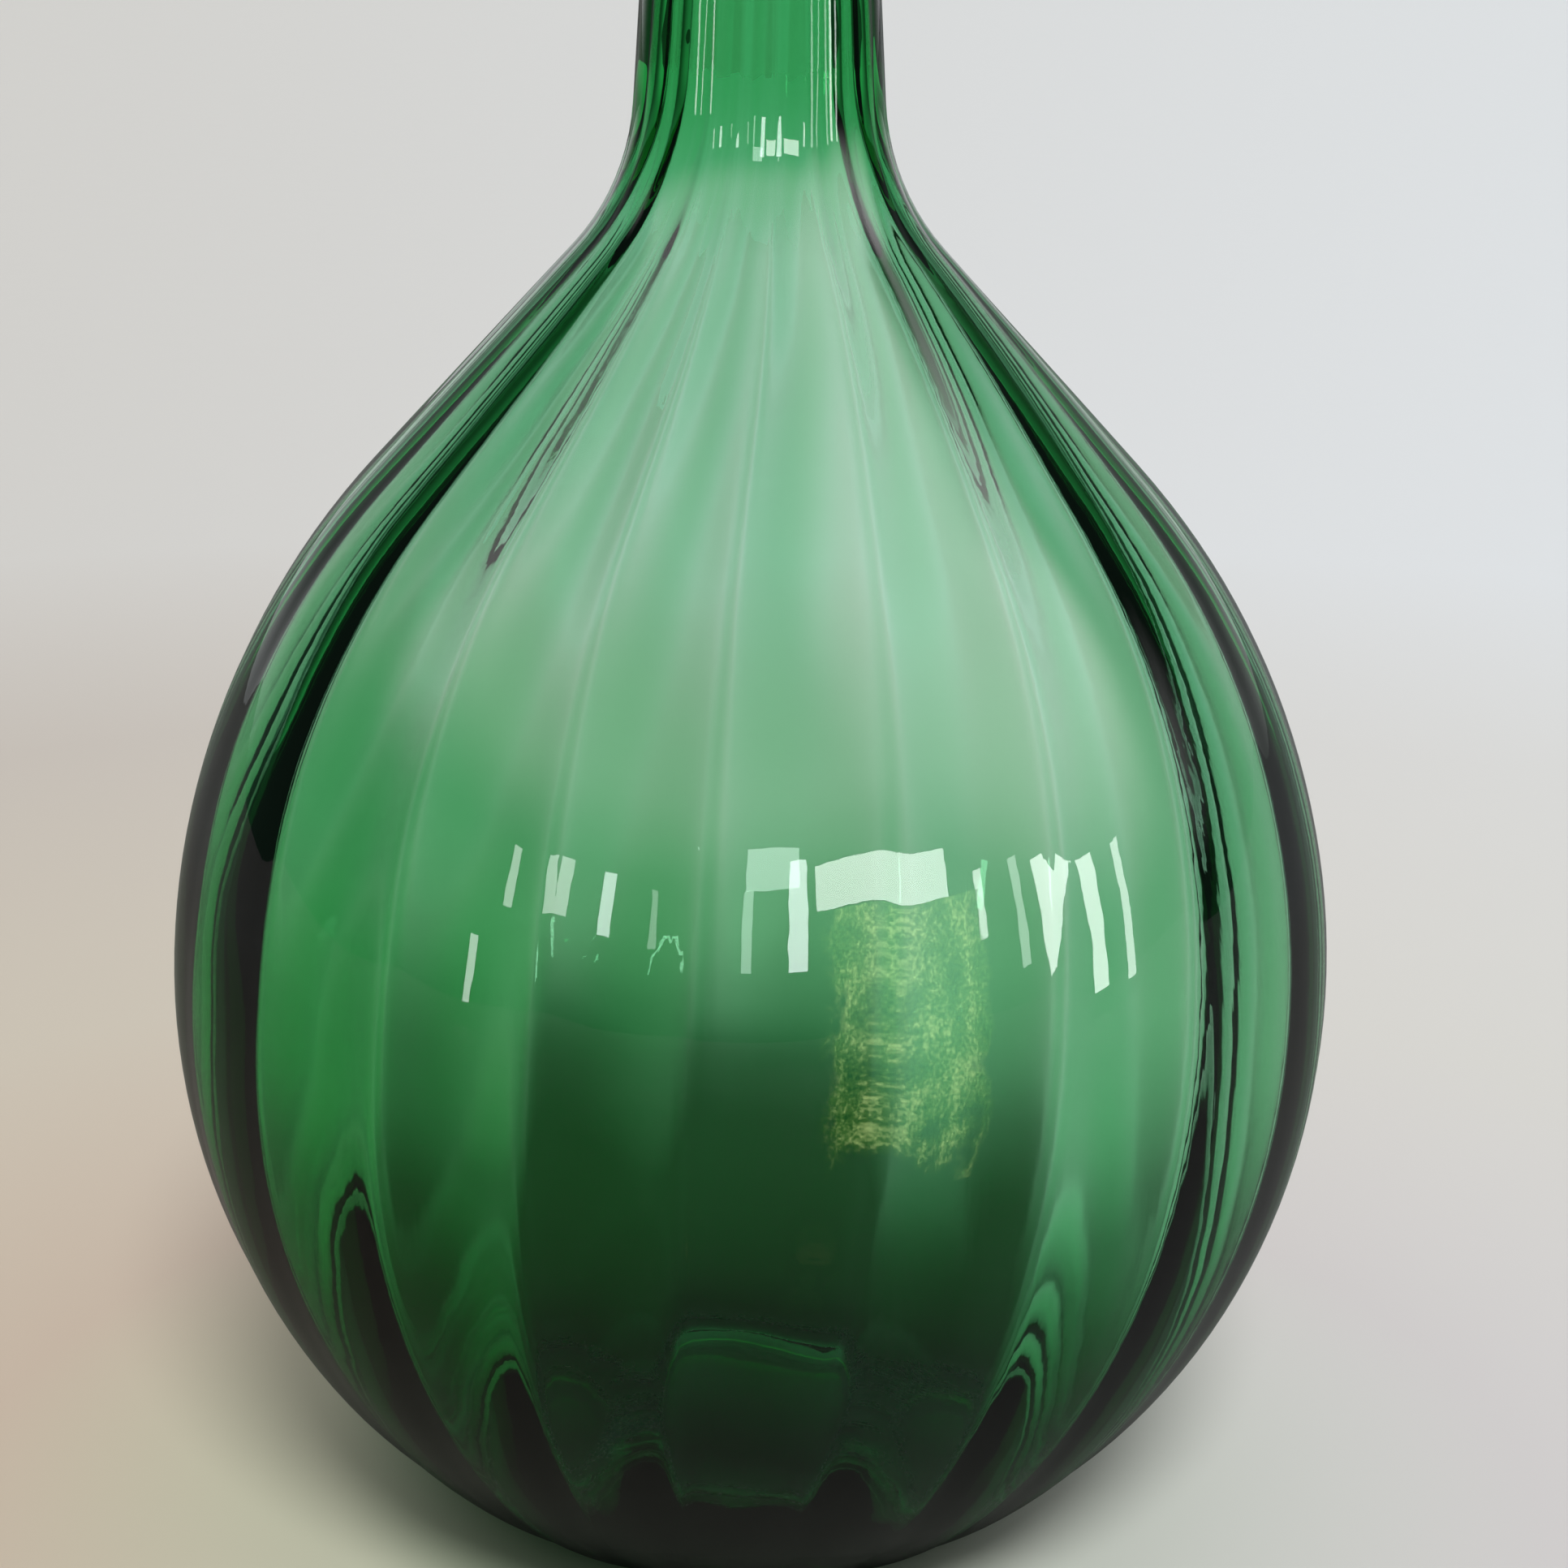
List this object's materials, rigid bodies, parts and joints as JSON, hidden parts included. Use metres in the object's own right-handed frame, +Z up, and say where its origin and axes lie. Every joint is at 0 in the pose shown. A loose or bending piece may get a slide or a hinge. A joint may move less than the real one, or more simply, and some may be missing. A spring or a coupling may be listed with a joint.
{
  "type": "glass carboy",
  "caption": "Round mouth-blown glass carboy with a slim tapered neck, ringed lip, slightly hollow base and a bored cork bung that lifts out.",
  "frame": {"origin": "centre of the flat ring that the bottle stands on", "axes": "+Z up along the bottle's axis; the bottle is round, so +X and +Y are any two level directions at right angles"},
  "size_m": [0.22, 0.22, 0.3538],
  "materials": {
    "green_glass": "smooth blown glass, soft green",
    "cork": "matt natural cork"
  },
  "bodies": {
    "bottle": {"glass_vessel": "green_glass", "lip_ring": "green_glass"},
    "bung": {"bung": "cork"}
  },
  "joints": [
    {"name": "bung_lift", "type": "slide", "parent": "bottle", "child": "bung", "axis": [0, 0, 1], "range_m": [0, 0.06]}
  ]
}
